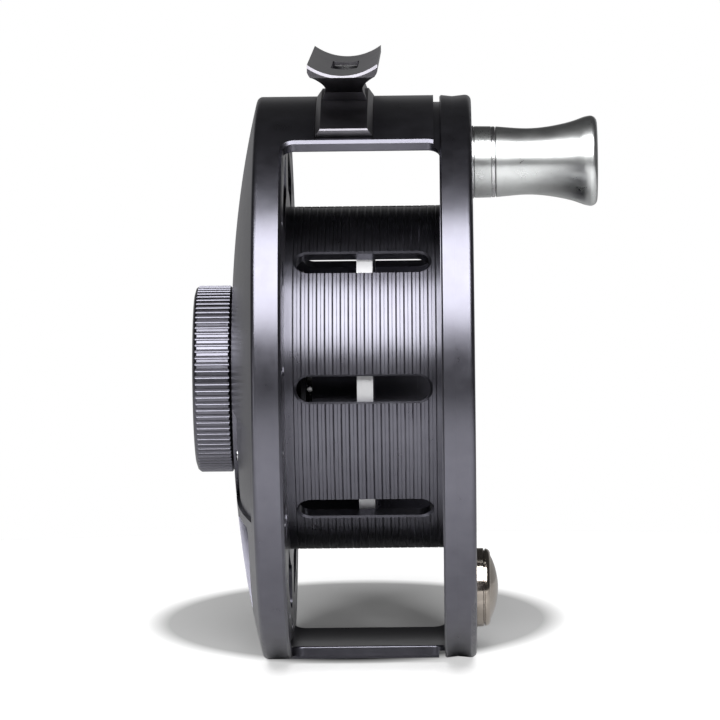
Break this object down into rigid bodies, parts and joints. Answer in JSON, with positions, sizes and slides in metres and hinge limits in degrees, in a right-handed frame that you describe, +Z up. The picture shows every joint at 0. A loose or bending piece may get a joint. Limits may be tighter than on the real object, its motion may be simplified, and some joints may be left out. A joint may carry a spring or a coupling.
{
  "type": "fly reel",
  "caption": "Large-arbor fly fishing reel: open frame with foot, ported spool with palming rim, winding handle, counterweight and a sealed disc drag set by a knob.",
  "frame": {"origin": "middle of the reel foot's saddle, on its lowest line, where the rod's reel seat touches it", "axes": "+X along the spindle towards the winding handle, +Y along the foot and the rod, +Z up from the reel to the rod; the spindle axis is 59.9 mm below the origin"},
  "size_m": [0.0773, 0.108, 0.116],
  "materials": {
    "gunmetal_anodised": "satin anodised, machined",
    "foot_anodised": "satin anodised, machined",
    "black_anodised": "matt anodised",
    "bright_aluminium": "fine turned, clear anodised",
    "polished_nickel": "polished",
    "stainless_steel": "turned",
    "carbon_composite": "matt woven",
    "black_rubber": "matt",
    "acetal": "matt"
  },
  "bodies": {
    "root": {"frame": "gunmetal_anodised", "reel_foot": "foot_anodised", "foot_screws": "stainless_steel", "spindle": "stainless_steel", "spindle_nut": "stainless_steel", "knob_washer": "stainless_steel", "knob_screw": "stainless_steel", "detent_ball": "stainless_steel", "detent_spring": "stainless_steel", "pressure_plate": "stainless_steel", "drag_washers": "carbon_composite", "drag_housing": "black_anodised", "housing_screws": "stainless_steel", "housing_oring": "black_rubber", "rotor_seal": "black_rubber", "front_bearing_inner_race": "stainless_steel"},
    "drag_knob": {"drag_knob": "gunmetal_anodised"},
    "drag_thrust": {"thrust_ring": "black_anodised", "thrust_pins": "stainless_steel", "pusher_washer": "stainless_steel", "drag_spring": "stainless_steel"},
    "spool": {"spool_hub": "gunmetal_anodised", "spool_web": "gunmetal_anodised", "spool_drum": "gunmetal_anodised", "spool_back_flange": "gunmetal_anodised", "palming_rim": "gunmetal_anodised", "drag_rotor": "stainless_steel", "rear_bearing_races": "stainless_steel", "rear_bearing_balls": "stainless_steel", "front_bearing_outer_race": "stainless_steel", "front_bearing_balls": "stainless_steel", "one_way_clutch": "stainless_steel", "clutch_rollers": "stainless_steel", "spool_cap": "gunmetal_anodised", "cap_screws": "stainless_steel", "latch_spring": "stainless_steel", "handle_base_washer": "stainless_steel", "handle_collar": "bright_aluminium", "handle_thrust_washer": "stainless_steel", "handle_post": "stainless_steel", "handle_screw": "stainless_steel", "counterweight": "polished_nickel", "counterweight_screw": "stainless_steel"},
    "release_latch": {"release_latch": "black_anodised"},
    "handle": {"handle_knob": "bright_aluminium", "handle_bushes": "acetal"}
  },
  "joints": [
    {"name": "spool_spin", "type": "hinge", "parent": "root", "child": "spool", "pos_m": [0, 0, -0.0599], "axis": [1, 0, 0], "continuous": true},
    {"name": "handle_spin", "type": "hinge", "parent": "spool", "child": "handle", "pos_m": [0.028, 0, -0.0187], "axis": [1, 0, 0], "continuous": true},
    {"name": "drag_knob_turn", "type": "hinge", "parent": "root", "child": "drag_knob", "pos_m": [-0.025, 0, -0.0599], "axis": [1, 0, 0], "range_deg": [0, 270]},
    {"name": "drag_thrust_travel", "type": "slide", "parent": "root", "child": "drag_thrust", "axis": [1, 0, 0], "range_m": [0, 0.0006], "deforming": ["drag_spring"]},
    {"name": "release_latch_press", "type": "slide", "parent": "spool", "child": "release_latch", "axis": [0, 0, -1], "range_m": [0, 0.0008], "stiffness_N_per_m": 400, "springref_m": -0.003, "deforming": ["latch_spring"]}
  ],
  "couplings": [
    {"joint": "drag_thrust_travel", "follows": "drag_knob_turn", "m_per_rad": 0.00011937}
  ]
}
